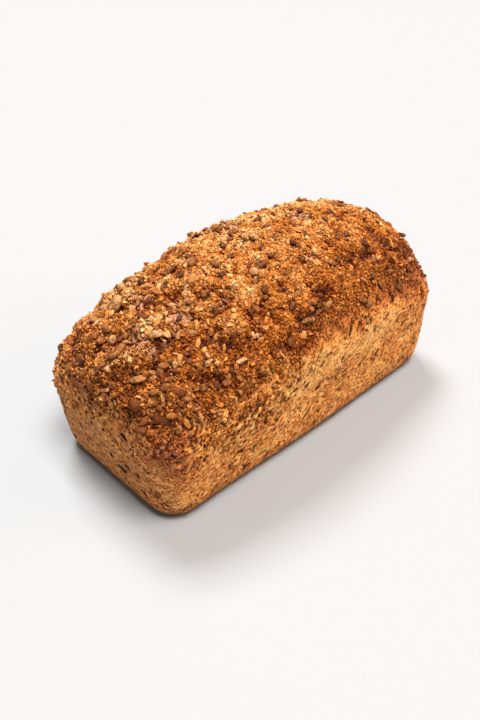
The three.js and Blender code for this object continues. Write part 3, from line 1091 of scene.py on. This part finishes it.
fine_spots, fine_ups = strew(MEAL, FINE_GAP, fine_share, seed=95)
fine_lengths = drawn_lengths(fine_spots, shortest=0.8, longer=0.5, power=1)
fine_tones = baked_and_shaded_tones(fine_spots, spread=0.4, seed=97)
fine_meal = topping(
    "fine_meal", grit_shapes, fine_spots, fine_ups, fine_lengths,
    lift=0.45, tilt=60, tones=fine_tones, seed=96, smooth=False,
)

# %% [markdown]
# ## The map on the crust
#
# The map goes into the crust's own attributes, so that its material can follow it: how browned a place
# is, whether it lies on an end, on the crown, under topping or in a bald patch, and how much painted
# shade its pores, slits, grooves and pin holes get. The crown is browner than the walls, and more so in
# the bare rim of the far half. Over the near end it is darker still, partly browner bake and partly
# painted shade for the gaps in its topping. The walls are browner low down and at the foot, in a streak
# up the near corner, at the far shoulder, and just under the tin's edge on the near third and the far
# end. Elsewhere they pale toward their top. Lumps under the skin stay pale. Again a list holds how much
# each counts and where.

# %% Write the map on the crust
PALEST_BAKE = 0.24
RIM_START = (-4 * MM, 9 * MM)
RIM_END = (16 * MM, 34 * MM)
NEAR_CORNER = np.array([-104, -48]) * MM
CORNER_SPREAD = 13 * MM
CORNER_UP = (20 * MM, 52 * MM)
FOOT_UP = (1 * MM, 13 * MM)
LOW_WALL_UP = (20 * MM, 66 * MM)
HIGH_WALL_UP = (38 * MM, 60 * MM)
EDGE_UP = (-34 * MM, -6 * MM)
SHOULDER_ALONG = (46 * MM, 92 * MM)
SHOULDER_UP = (34 * MM, 56 * MM)
BAKE_LENGTH = 26 * MM

up_wall = crust_place[:, 2]
wall_part = 1 - crown
bare_rim = smooth_step(over, *RIM_START) * (1 - smooth_step(over, *RIM_END)) * (1 - on_end) * far_half
to_corner = np.linalg.norm(crust_place[:, :2] - NEAR_CORNER, axis=1) / CORNER_SPREAD
corner_streak = np.exp(-(to_corner**2)) * smooth_step(up_wall, *CORNER_UP)
edge = smooth_step(over, *EDGE_UP) * wall_part
far_shoulder = smooth_step(crust_place[:, 0], *SHOULDER_ALONG) * smooth_step(up_wall, *SHOULDER_UP)
bake_marks = [
    (0.13, 1 - smooth_step(up_wall, *LOW_WALL_UP)),
    (0.2, 1 - smooth_step(up_wall, *FOOT_UP)),
    (-0.07, on_end),
    (0.32, crown),
    (0.12, bare_rim),
    (0.42, corner_streak * wall_part),
    (-0.01, (1 - near_third) * wall_part),
    (-0.11, (1 - near_third) * wall_part * smooth_step(up_wall, *HIGH_WALL_UP)),
    (0.24, near_third * edge),
    (0.18, on_end * far_half * edge),
    # partly painted shade for the gaps in the topping toward the near end, partly browner bake
    (0.22, near_end * crown),
    (0.24, over_end * crown),
    (0.36, far_shoulder * (1 - 0.4 * crown)),
    (0.06, slow_waves(crust_place, BAKE_LENGTH, seed=11)),
    (-0.16, lump * wall_part),
]
browned = PALEST_BAKE + sum(amount * where for amount, where in bake_marks)
crust_map = {
    "browned": browned, "on_end": on_end, "crown": crown,
    "topped": topped * cover, "hollow_shade": hollow_shade, "bare": bare,
}
for name, values in crust_map.items():
    keep_attribute(crust, name, values)
print("browned from", np.round(browned.min(), 2), "to", np.round(browned.max(), 2))

# %% [markdown]
# ## Baked crust
#
# Crust is dried dough: dull, a little glossy where the topping left it bald, and full of pores where the
# tin held it. The larger pores are in the mesh. The finer ones are cells of a Voronoi pattern, stretched
# along the strokes: a pit at the heart of each small cell, and a deeper slit at the heart of some large
# ones. A stretched noise wrinkles the skin between them. The pattern is made once for the long walls
# and once for the ends, where the strokes are longer and finer, and the map picks between the two. A
# wandering noise bends it all, so that the strokes don't run in rows.

# %% Pores of the walls
PIT = (2.4, 1.15, 1.15)  # length, width and depth of a cell, mm
PIT_HEART = (0.44, 0.3)  # from the pit's rim to its floor, in parts of a cell
PIT_LOT = 0.35  # pits with a lower lot are left out
SLIT = (7.0, 2.6, 2.6)
SLIT_HEART = (0.3, 0.16)
SLIT_LOT = 0.78
LOT_BLEND = 0.3
WRINKLE = (2.1, 1.0, 1.2)
BEND_LENGTH = 6 * MM
BEND = 2 * MM
SIDE_STROKES = ((0, -math.radians(SIDE_CLIMB), 0), (MM, MM, MM))  # turn and size
END_STROKES = ((0, -math.radians(END_CLIMB), math.pi / 2), (1.3 * MM, 0.75 * MM, 0.75 * MM))

crust_material = bpy.data.materials.new("baked_crust")
crust_material.use_nodes = True
tree = crust_material.node_tree
tree.nodes.clear()
coords = add_node(tree, "TexCoord", give="Object")
at = {name: add_node(tree, "Attribute", give="Fac", attribute_name=name) for name in crust_map}
wander = add_node(
    tree, "TexNoise", {"Vector": coords, "Scale": 1 / BEND_LENGTH, "Detail": 1.0}, give="Color"
)
bent = add_node(tree, "VectorMath", [wander, (BEND, BEND, BEND), coords], operation="MULTIPLY_ADD")
layers = {"pit": [], "slit": [], "fleck": [], "net": [], "wrinkle": []}
for turn, cell_size in (SIDE_STROKES, END_STROKES):
    turned = add_node(
        tree, "Mapping", {"Vector": bent, "Rotation": turn, "Scale": cell_size}, vector_type="TEXTURE"
    )
    for name, cell, heart, lot in (("pit", PIT, PIT_HEART, PIT_LOT), ("slit", SLIT, SLIT_HEART, SLIT_LOT)):
        stretched = add_node(tree, "VectorMath", [turned, cell], operation="DIVIDE")
        to_heart = add_node(tree, "TexVoronoi", {"Vector": stretched, "Scale": 1.0}, give="Distance")
        drawn_lot = add_node(tree, "SeparateColor", [to_heart.node.outputs["Color"]], give="Red")
        deep = add_node(tree, "MapRange", [to_heart, *heart, 0.0, 1.0])
        there = add_node(tree, "MapRange", [drawn_lot, lot, lot + LOT_BLEND, 0.0, 1.0])
        layers[name].append(add_node(tree, "Math", [deep, there], operation="MULTIPLY"))
        if name == "pit":
            layers["net"].append(to_heart)
            pale = add_node(tree, "MapRange", [drawn_lot.node.outputs["Green"], 0.7, 0.9, 0.0, 1.0])
            spot_of_pale = add_node(tree, "MapRange", [to_heart, 0.7, 0.3, 0.0, 1.0])
            layers["fleck"].append(add_node(tree, "Math", [spot_of_pale, pale], operation="MULTIPLY"))
    stretched = add_node(tree, "VectorMath", [turned, WRINKLE], operation="DIVIDE")
    layers["wrinkle"].append(add_node(
        tree, "TexNoise", {"Vector": stretched, "Scale": 1.0, "Detail": 4.0, "Roughness": 0.65}
    ))
pit, slit, fleck, net, wrinkle = (
    add_node(tree, "Mix", {0: at["on_end"], 2: side, 3: end}, data_type="FLOAT")
    for side, end in layers.values()
)
print("layers of the wall's pattern:", list(layers))

# %% [markdown]
# The colour of crust is how far it baked, from pale gold to nearly black, so one ramp gives it all. The
# map says how browned a place is, and noise in several sizes shifts it: slow mottling, streaks along the
# strokes and fine grit. Pale flecks are starch. Pits, slits and the hollows in the mesh get painted
# shade, nearly black in the pin holes.

# %% Colour of the walls
BAKE = [(0.0, "#f4ba6c"), (0.2, "#e69038"), (0.45, "#b0622e"), (0.7, "#7e3c14"), (1.0, "#441604")]
STARCH = "#fad2a0"
END_TINT = "#fff3fa"  # the ends are a little cooler than the sides
# painted shade: colours for pits and slits, for hollows in the mesh, and nearly black for pin holes
PORE_SHADE_COLOUR = "#4e1804"
HOLLOW_SHADE_COLOUR = "#340e02"
HOLE_SHADE_COLOUR = "#050201"
MOTTLE = 7 * MM
GRIT = 1.3 * MM
PORE_PATCH = 11 * MM

mottle = add_node(
    tree, "TexNoise", {"Vector": coords, "Scale": 1 / MOTTLE, "Detail": 5.0, "Roughness": 0.65}
)
grit = add_node(tree, "TexNoise", {"Vector": coords, "Scale": 1 / GRIT, "Detail": 3.0, "Roughness": 0.65})
patches = add_node(
    tree, "TexNoise", {"Vector": coords, "Scale": 1 / PORE_PATCH, "Detail": 2.0, "Roughness": 0.65}
)
wall = add_node(tree, "Math", [1.0, at["crown"]], operation="SUBTRACT")
mottled = add_node(tree, "MapRange", [mottle, 0.3, 0.7, -0.2, 0.2])
bake = add_node(tree, "Math", [at["browned"], mottled], operation="ADD")
wrinkled = add_node(tree, "MapRange", [wrinkle, 0.3, 0.7, 1.0, -1.0])
streak_depth = add_node(tree, "MapRange", [at["on_end"], 0.0, 1.0, 0.18, 0.34])
streaks = add_node(tree, "Math", [wrinkled, streak_depth], operation="MULTIPLY")
netted = add_node(tree, "MapRange", [net, 0.2, 0.62, 0.24, -0.24])
pattern = add_node(tree, "Math", [streaks, netted], operation="ADD")
half_on_crown = add_node(tree, "Math", [wall, 0.5, 0.5], operation="MULTIPLY_ADD")
bake = add_node(tree, "Math", [pattern, half_on_crown, bake], operation="MULTIPLY_ADD")
gritty = add_node(tree, "MapRange", [grit, 0.3, 0.7, 0.12, -0.12])
bake = add_node(tree, "Math", [bake, gritty], operation="ADD")
skin = add_node(tree, "ValToRGB", [bake], stops=BAKE)
flecked = add_node(tree, "Math", [fleck, wall], operation="MULTIPLY")
flecked = add_node(tree, "Math", [flecked, 0.5], operation="MULTIPLY")
skin = add_node(tree, "Mix", {0: flecked, 6: skin, 7: linear(STARCH)}, give=2, data_type="RGBA")
skin = add_node(
    tree, "Mix", {0: at["on_end"], 6: skin, 7: linear(END_TINT)},
    give=2, data_type="RGBA", blend_type="MULTIPLY",
)
# painted shade: pits and slits, hollows and pin holes darken the skin
pits = add_node(tree, "Math", [pit, 0.85], operation="MULTIPLY")
slits = add_node(tree, "Math", [slit, 0.9], operation="MULTIPLY")
pores = add_node(tree, "Math", [pits, slits], operation="MAXIMUM")
few_on_crown = add_node(tree, "MapRange", [wall, 0.4, 0.95, 0.1, 1.0])
pores = add_node(tree, "Math", [pores, few_on_crown], operation="MULTIPLY")
in_patches = add_node(tree, "MapRange", [patches, 0.38, 0.6, 0.3, 1.0])
in_patches = add_node(tree, "Math", [in_patches, at["on_end"]], operation="MAXIMUM")
pores = add_node(tree, "Math", [pores, in_patches], operation="MULTIPLY")
skin = add_node(tree, "Mix", {0: pores, 6: skin, 7: linear(PORE_SHADE_COLOUR)}, give=2, data_type="RGBA")
dim = add_node(tree, "Math", [at["hollow_shade"], 0.9], operation="MINIMUM")
skin = add_node(tree, "Mix", {0: dim, 6: skin, 7: linear(HOLLOW_SHADE_COLOUR)}, give=2, data_type="RGBA")
black = add_node(tree, "MapRange", [at["hollow_shade"], 0.85, 1.3, 0.0, 1.0])
skin = add_node(tree, "Mix", {0: black, 6: skin, 7: linear(HOLE_SHADE_COLOUR)}, give=2, data_type="RGBA")
print("nodes for the walls:", len(tree.nodes))

# %% [markdown]
# On the crown the skin between the pieces of topping is covered in fine baked-on meal: small round
# cells, each with its own tone, standing a little proud. Where the topping left a patch bare, the skin
# is smooth and pinkish, flecked with pale painted highlights, and has a soft gloss.

# %% Crown, gloss and bump of the crust
BALD_SKIN_AND_HIGHLIGHTS = [(0.38, "#9c5832"), (0.5, "#c88a62"), (0.62, "#f2caa8")]
BAKED_ON_MEAL = [(0.0, "#7c3d12"), (0.5, "#b4682a"), (0.8, "#d08a42"), (1.0, "#e4ad64")]
CRUMB = 1.6 * MM
DULL = 0.7
SOFT_GLOSS = 0.36

# bald skin: pinkish crust, its palest flecks a painted highlight
bald_skin_and_highlights = add_node(tree, "ValToRGB", [grit], stops=BALD_SKIN_AND_HIGHLIGHTS)
bald = add_node(tree, "Math", [at["bare"], 0.65], operation="MULTIPLY")
skin = add_node(tree, "Mix", {0: bald, 6: skin, 7: bald_skin_and_highlights}, give=2, data_type="RGBA")
to_crumb = add_node(tree, "TexVoronoi", {"Vector": coords, "Scale": 1 / CRUMB}, give="Distance")
crumb_tone = add_node(tree, "SeparateColor", [to_crumb.node.outputs["Color"]], give="Red")
crumb_colour = add_node(tree, "ValToRGB", [crumb_tone], stops=BAKED_ON_MEAL)
crumb_top = add_node(tree, "MapRange", [to_crumb, 0.6, 0.2, 0.0, 1.0])
under_topping = add_node(tree, "MapRange", [at["topped"], 0.0, 0.6, 0.12, 1.0])
mealy = add_node(tree, "Math", [at["crown"], under_topping], operation="MULTIPLY")
crumb_top = add_node(tree, "Math", [crumb_top, mealy], operation="MULTIPLY")
skin = add_node(tree, "Mix", {0: crumb_top, 6: skin, 7: crumb_colour}, give=2, data_type="RGBA")
height = add_node(tree, "Math", [grit, 1.2], operation="MULTIPLY")
height = add_node(tree, "Math", [wrinkle, 2.4, height], operation="MULTIPLY_ADD")
height = add_node(tree, "Math", [pores, -1.0, height], operation="MULTIPLY_ADD")
height = add_node(tree, "Math", [crumb_top, 0.8, height], operation="MULTIPLY_ADD")
bump = add_node(tree, "Bump", {"Height": height, "Distance": MM, "Strength": 0.9})
rough = add_node(tree, "MapRange", [at["bare"], 0.0, 1.0, DULL, SOFT_GLOSS])
shader = add_node(
    tree, "BsdfPrincipled",
    {"Base Color": skin, "Roughness": rough, "Normal": bump, "IOR": 1.45, "Specular IOR Level": 0.16},
)
add_node(tree, "OutputMaterial", {"Surface": shader})
crust.data.materials.clear()
crust.data.materials.append(crust_material)
print("crust material nodes:", len(tree.nodes))


# %% [markdown]
# ## Toasted grain
#
# All the topping is toasted seed and grain. Each piece has its own tone, from deep brown bran to pale
# broken starch, so every kind has a row of colours that the tone picks from. A fine noise breaks the
# colour within one piece and roughens it. The low parts of a piece get painted shade, as dark as the
# shade in the gaps between the crumbs.

# %% Topping materials
# painted shade: the colour of the gaps between crumbs, put on the low parts of every piece
GAP_SHADE_COLOUR = "#200902"


def toasted(name, stops, fleck, roughness, spread, gloss, shade_depth, bump_height=0.3 * MM):
    """Toasted grain: flecks of a real size shift the tone by the spread. The depth of the gap shade is how
    far up a piece the painted shade of the gaps reaches, in parts of the range that the rise is kept in."""
    material = bpy.data.materials.new(name)
    material.use_nodes = True
    tree = material.node_tree
    tree.nodes.clear()
    coords = add_node(tree, "TexCoord", give="Object")
    tone = add_node(tree, "Attribute", give="Fac", attribute_name="tone")
    rise = add_node(tree, "Attribute", give="Fac", attribute_name="rise")
    fine = add_node(
        tree, "TexNoise", {"Vector": coords, "Scale": 1 / fleck, "Detail": 3.0, "Roughness": 0.6}
    )
    shift = add_node(tree, "MapRange", [fine, 0.3, 0.7, -spread, spread])
    picked = add_node(tree, "Math", [tone, shift], operation="ADD")
    colour = add_node(tree, "ValToRGB", [picked], stops=stops)
    # painted shade: low on a piece the colour fades into the gap shade
    lit = add_node(tree, "MapRange", [rise, 0.0, shade_depth])
    colour = add_node(tree, "Mix", {0: lit, 6: linear(GAP_SHADE_COLOUR), 7: colour}, give=2, data_type="RGBA")
    bump = add_node(tree, "Bump", {"Height": fine, "Distance": bump_height, "Strength": 0.7})
    shader = add_node(tree, "BsdfPrincipled", {
        "Base Color": colour, "Roughness": roughness, "Normal": bump,
        "IOR": 1.47, "Specular IOR Level": gloss,
    })
    add_node(tree, "OutputMaterial", {"Surface": shader})
    return material


# Shelled kernels: tan to brown, wrinkled, with a faint oily sheen
kernels.data.materials.append(toasted(
    "toasted_kernel", [(0.0, "#54260a"), (0.45, "#8e5626"), (0.8, "#be8852"), (1.0, "#d0a474")],
    fleck=1.3 * MM, roughness=0.55, spread=0.3, gloss=0.18, shade_depth=1.2, bump_height=1.5 * MM,
))
# Flaxseeds: a smooth hull, dark on the crown and pale under the dough of the walls
flaxseeds.data.materials.append(toasted(
    "baked_flaxseed", [(0.0, "#341304"), (0.5, "#562608"), (0.75, "#84481a"), (1.0, "#c98a48")],
    fleck=1.5 * MM, roughness=0.5, spread=0.12, gloss=0.15, shade_depth=0.25,
))
# Cracked grain: brown bran on the outside, pale starch where it broke
cracked_grain.data.materials.append(toasted(
    "cracked_grain", [(0.0, "#5c2a0a"), (0.4, "#8e501e"), (0.85, "#b87a3a"), (1.0, "#d8a468")],
    fleck=1 * MM, roughness=0.55, spread=0.2, gloss=0.2, shade_depth=1.1,
))
# Curls of bran: thin skins, dark with painted shade low down and paler where they lift
bran_curls.data.materials.append(toasted(
    "bran_curls", [(0.0, "#6a320c"), (0.4, "#985822"), (0.8, "#b87e42"), (1.0, "#d4a872")],
    fleck=1 * MM, roughness=0.5, spread=0.2, gloss=0.2, shade_depth=0.7,
))
# Bran flakes: dull, from burnt red-brown to straw
bran_flakes.data.materials.append(toasted(
    "bran_flakes",
    [(0.0, "#3e1204"), (0.16, "#78340c"), (0.38, "#b8631e"), (0.74, "#da8c46"), (1.0, "#eec084")],
    fleck=1 * MM, roughness=0.55, spread=0.15, gloss=0.12, shade_depth=1.0,
))
# Meal: ground grain, more golden than the flakes, coarse and fine alike
golden_meal.data.materials.append(toasted(
    "golden_meal",
    [(0.0, "#4a1604"), (0.16, "#8e400e"), (0.38, "#c66d1c"), (0.74, "#e69644"), (1.0, "#f6c680")],
    fleck=1 * MM, roughness=0.55, spread=0.15, gloss=0.12, shade_depth=1.0,
))
fine_meal.data.materials.append(golden_meal.data.materials[0])
print("materials:", [material.name for material in bpy.data.materials])

# %% [markdown]
# ## Join the dressed loaf to the frame
#
# The crust stands for the solid, and the topping rides with it.

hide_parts("loaf")
for piece in (crust, kernels, flaxseeds, cracked_grain, bran_curls, bran_flakes, golden_meal, fine_meal):
    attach(piece, "root")

# %% [markdown]
# ## Floor
#
# The loaf stands on a plain pale floor. The edge of a flat floor would show as a horizon, so a wide disc
# is extruded at its rim into rings that climb ever more steeply, as a sheet of paper is curved up behind
# an object in a studio. Each ring is how much farther out and how much higher it lies, in metres.

# %% Floor
FLOOR_RADIUS = 4.0
FLOOR_SIDES = 96
SWEEP = [(0.35, 0.03), (0.35, 0.09), (0.4, 0.17), (0.5, 0.3), (0.8, 0.56), (1.2, 0.84), (1.4, 0.98)]

bpy.ops.object.select_all(action="DESELECT")
bpy.ops.mesh.primitive_circle_add(vertices=FLOOR_SIDES, radius=FLOOR_RADIUS, fill_type="NGON")
floor = bpy.context.object
floor.name = "floor"
bpy.ops.object.mode_set(mode="EDIT")
bpy.ops.mesh.select_all(action="SELECT")
bpy.ops.mesh.region_to_loop()
ring_radius = FLOOR_RADIUS
for wider, higher in SWEEP:
    bpy.ops.mesh.extrude_edges_move(TRANSFORM_OT_translate={"value": (0, 0, higher)})
    grow = (ring_radius + wider) / ring_radius
    bpy.ops.transform.resize(value=(grow, grow, 1))
    ring_radius += wider
bpy.ops.object.mode_set(mode="OBJECT")
bpy.ops.object.shade_smooth()
print("floor and sweep, m:", [round(side, 2) for side in floor.dimensions])
floor_material = bpy.data.materials.new("pale_floor")
floor_material.use_nodes = True
floor_shader = floor_material.node_tree.nodes["Principled BSDF"]
floor_shader.inputs["Base Color"].default_value = linear("#929394")
floor_shader.inputs["Roughness"].default_value = 0.7
floor_shader.inputs["Specular IOR Level"].default_value = 0.2
floor.data.materials.append(floor_material)

# %% [markdown]
# ## Light
#
# The light is soft, as from large windows: a broad one overhead that leans to the front, one behind the
# loaf that draws its shadow forward, and a weak, warm one to the right. The room gives a little light
# from all sides and keeps the shadow from going black. The strengths, in watts, were matched to how
# bright the floor and the loaf look in the picture.

# %% Light
scene = bpy.context.scene
world = bpy.data.worlds.new("white_room")
scene.world = world
world.use_nodes = True
world.node_tree.nodes["Background"].inputs["Color"].default_value = linear("#fff6ee")
world.node_tree.nodes["Background"].inputs["Strength"].default_value = 0.29


def window_light(name, azimuth, elevation, distance, side, power, colour="#ffffff"):
    turn = math.radians(azimuth)
    climb = math.radians(elevation)
    level = math.cos(climb)
    toward = Vector((math.sin(turn) * level, -math.cos(turn) * level, math.sin(climb)))
    bpy.ops.object.light_add(type="AREA", location=Vector((0, 0, AIM_HEIGHT)) + toward * distance)
    light = bpy.context.object
    light.name = name
    light.rotation_euler = toward.to_track_quat("Z", "Y").to_euler()
    light.data.shape = "SQUARE"
    light.data.size = side
    light.data.energy = power
    light.data.color = linear(colour)[:3]


window_light("window_above", azimuth=0, elevation=74, distance=8, side=3.2, power=1060)
window_light("window_behind", azimuth=160, elevation=60, distance=8, side=2.5, power=900)
window_light("window_right", azimuth=45, elevation=30, distance=5, side=2.4, power=120, colour="#ffc698")
scene.view_settings.view_transform = "Standard"
